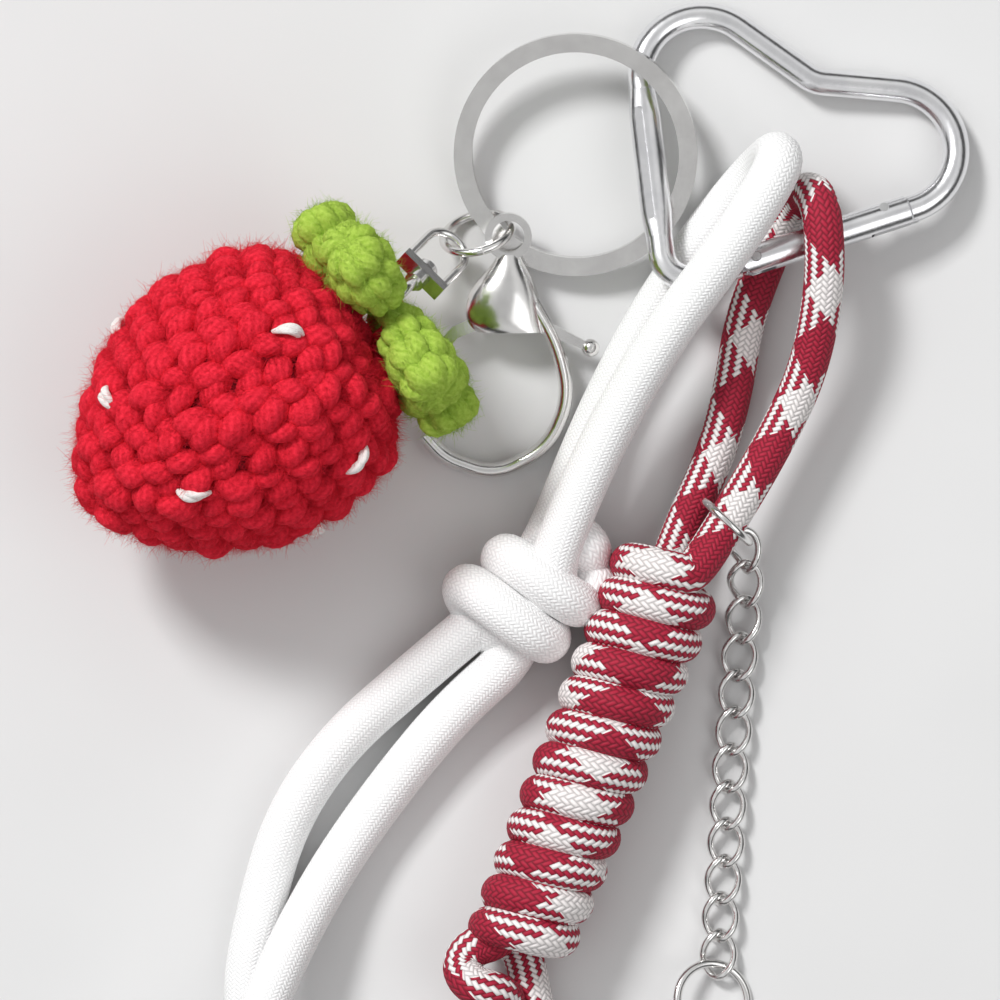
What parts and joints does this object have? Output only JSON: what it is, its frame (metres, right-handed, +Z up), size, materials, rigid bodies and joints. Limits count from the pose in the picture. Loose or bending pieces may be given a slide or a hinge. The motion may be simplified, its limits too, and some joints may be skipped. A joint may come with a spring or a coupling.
{
  "type": "plush strawberry keychain",
  "caption": "Crocheted strawberry charm on a split ring with lobster clasp and swivel, a heart-shaped carabiner, a white knotted wrist cord, a wrapped two-colour lanyard and a curb chain.",
  "frame": {"origin": "on the table under the middle of the hard and plush parts, the free cords left out", "axes": "+Z up from the table; +Y towards the heart carabiner's lobes, against the run of the lanyards"},
  "size_m": [0.1034, 0.1632, 0.0346],
  "materials": {
    "satin_aluminium": "satin",
    "pin_steel": "brushed",
    "spring_steel": "bright wire",
    "nickel_plate": "polished",
    "red_yarn": "fluffy wool",
    "stuffing": "soft fibre",
    "green_yarn": "soft wool",
    "white_yarn": "soft wool",
    "white_cord": "fine braid",
    "two_colour_cord": "two-colour braid"
  },
  "bodies": {
    "carabiner": {"carabiner_body": "satin_aluminium", "gate_hinge_pin": "pin_steel"},
    "gate": {"carabiner_gate": "satin_aluminium", "gate_latch_pin": "pin_steel", "gate_spring": "spring_steel"},
    "red_lanyard": {"red_cord_loop": "two_colour_cord", "red_cord_wrap": "two_colour_cord", "red_cord_core_end": "two_colour_cord", "red_cord_wrap_end": "two_colour_cord"},
    "white_lanyard": {"white_cord_loop": "white_cord", "white_cord_knot": "white_cord", "white_cord_wrist_loop": "white_cord"},
    "split_ring": {"split_ring": "nickel_plate"},
    "jump_ring": {"jump_ring": "nickel_plate"},
    "clasp": {"clasp_body": "nickel_plate", "clasp_pin": "pin_steel"},
    "clasp_lever": {"clasp_lever": "nickel_plate"},
    "swivel_stirrup": {"swivel_stirrup": "nickel_plate"},
    "swivel_eye": {"swivel_eye": "nickel_plate"},
    "strawberry": {"berry_shell": "red_yarn", "berry_stuffing": "stuffing", "leaf_calyx": "green_yarn", "seed_stitches": "white_yarn", "hanging_loop": "red_yarn"},
    "chain_top_ring": {"chain_top_ring": "nickel_plate"},
    "chain_link_01": {"chain_link_01": "nickel_plate"},
    "chain_link_02": {"chain_link_02": "nickel_plate"},
    "chain_link_03": {"chain_link_03": "nickel_plate"},
    "chain_link_04": {"chain_link_04": "nickel_plate"},
    "chain_link_05": {"chain_link_05": "nickel_plate"},
    "chain_link_06": {"chain_link_06": "nickel_plate"},
    "chain_link_07": {"chain_link_07": "nickel_plate"},
    "chain_link_08": {"chain_link_08": "nickel_plate"},
    "chain_link_09": {"chain_link_09": "nickel_plate"},
    "chain_link_10": {"chain_link_10": "nickel_plate"},
    "chain_link_11": {"chain_link_11": "nickel_plate"},
    "chain_link_12": {"chain_link_12": "nickel_plate"},
    "chain_end_ring": {"chain_end_ring": "nickel_plate"}
  },
  "joints": [
    {"name": "gate_hinge", "type": "hinge", "parent": "carabiner", "child": "gate", "pos_m": [0.0269, 0.03045, 0.00731], "axis": [0.0818, 0.2132, 0.9736], "range_deg": [0, 16], "stiffness_Nm_per_rad": 0.02, "springref_deg": -17.19},
    {"name": "red_lanyard_swing", "type": "hinge", "parent": "gate", "child": "red_lanyard", "pos_m": [0.03358, 0.03262, 0.00627], "axis": [0, 0, 1], "range_deg": [0, 9]},
    {"name": "white_lanyard_lift", "type": "hinge", "parent": "gate", "child": "white_lanyard", "pos_m": [0.0222, 0.0329, 0.008], "axis": [-0.8645, 0.5026, 0], "range_deg": [0, 4]},
    {"name": "split_ring_swing", "type": "hinge", "parent": "carabiner", "child": "split_ring", "pos_m": [0.01495, 0.04171, 0.00585], "axis": [-0.113, 0.9725, -0.2035], "range_deg": [0, 30]},
    {"name": "jump_ring_swing", "type": "hinge", "parent": "split_ring", "child": "jump_ring", "pos_m": [-0.00366, 0.03467, 0.00263], "axis": [0.6264, -0.7747, -0.0864], "range_deg": [0, 8]},
    {"name": "clasp_swing", "type": "hinge", "parent": "jump_ring", "child": "clasp", "pos_m": [-0.00135, 0.0332, 0.00515], "axis": [0, 0, 1], "range_deg": [-6, 0.5]},
    {"name": "lever_pivot", "type": "hinge", "parent": "clasp", "child": "clasp_lever", "pos_m": [-0.00295, 0.02417, 0.00404], "axis": [0, -0.1219, 0.9925], "range_deg": [0, 20], "stiffness_Nm_per_rad": 0.004, "springref_deg": -17.19},
    {"name": "stirrup_swing", "type": "hinge", "parent": "jump_ring", "child": "swivel_stirrup", "pos_m": [-0.0073, 0.0328, 0.0046], "axis": [-0.7169, 0.6972, 0], "range_deg": [0, 8]},
    {"name": "swivel_spin", "type": "hinge", "parent": "swivel_stirrup", "child": "swivel_eye", "pos_m": [-0.0073, 0.0328, 0.0046], "axis": [-0.5299, -0.5449, 0.6499], "continuous": true},
    {"name": "strawberry_nod", "type": "hinge", "parent": "swivel_eye", "child": "strawberry", "pos_m": [-0.01472, 0.02517, 0.0137], "axis": [-0.7169, 0.6972, 0], "range_deg": [0, 6]},
    {"name": "chain_ring_swing", "type": "hinge", "parent": "red_lanyard", "child": "chain_top_ring", "pos_m": [0.02375, 0.00035, 0.0075], "axis": [-0.6769, -0.7361, 0], "range_deg": [0, 7]},
    {"name": "chain_link_01_turn", "type": "hinge", "parent": "chain_top_ring", "child": "chain_link_01", "pos_m": [0.0256, -0.00097, 0.0055], "axis": [0, 0, -1], "range_deg": [-5, 5]},
    {"name": "chain_link_02_turn", "type": "hinge", "parent": "chain_link_01", "child": "chain_link_02", "pos_m": [0.02593, -0.00472, 0.00342], "axis": [0, 0, 1], "range_deg": [-6, 6]},
    {"name": "chain_link_03_turn", "type": "hinge", "parent": "chain_link_02", "child": "chain_link_03", "pos_m": [0.02593, -0.00876, 0.00194], "axis": [0, 0, -1], "range_deg": [-6, 6]},
    {"name": "chain_link_04_turn", "type": "hinge", "parent": "chain_link_03", "child": "chain_link_04", "pos_m": [0.02549, -0.01299, 0.00135], "axis": [0, 0, 1], "range_deg": [-6, 6]},
    {"name": "chain_link_05_turn", "type": "hinge", "parent": "chain_link_04", "child": "chain_link_05", "pos_m": [0.02504, -0.01727, 0.0012], "axis": [0, 0, -1], "range_deg": [-6, 6]},
    {"name": "chain_link_06_turn", "type": "hinge", "parent": "chain_link_05", "child": "chain_link_06", "pos_m": [0.02481, -0.02156, 0.0012], "axis": [0, 0, 1], "range_deg": [-6, 6]},
    {"name": "chain_link_07_turn", "type": "hinge", "parent": "chain_link_06", "child": "chain_link_07", "pos_m": [0.02436, -0.02584, 0.0012], "axis": [0, 0, -1], "range_deg": [-6, 6]},
    {"name": "chain_link_08_turn", "type": "hinge", "parent": "chain_link_07", "child": "chain_link_08", "pos_m": [0.02406, -0.03013, 0.0012], "axis": [0, 0, 1], "range_deg": [-6, 6]},
    {"name": "chain_link_09_turn", "type": "hinge", "parent": "chain_link_08", "child": "chain_link_09", "pos_m": [0.02384, -0.03442, 0.0012], "axis": [0, 0, -1], "range_deg": [-6, 6]},
    {"name": "chain_link_10_turn", "type": "hinge", "parent": "chain_link_09", "child": "chain_link_10", "pos_m": [0.02361, -0.03872, 0.0012], "axis": [0, 0, 1], "range_deg": [-6, 6]},
    {"name": "chain_link_11_turn", "type": "hinge", "parent": "chain_link_10", "child": "chain_link_11", "pos_m": [0.02316, -0.04299, 0.0012], "axis": [0, 0, -1], "range_deg": [-6, 6]},
    {"name": "chain_link_12_turn", "type": "hinge", "parent": "chain_link_11", "child": "chain_link_12", "pos_m": [0.02301, -0.04729, 0.0012], "axis": [0, 0, 1], "range_deg": [-6, 6]},
    {"name": "chain_end_ring_turn", "type": "hinge", "parent": "chain_link_12", "child": "chain_end_ring", "pos_m": [0.02271, -0.05158, 0.0012], "axis": [0, 0, -1], "range_deg": [-5, 5]}
  ]
}
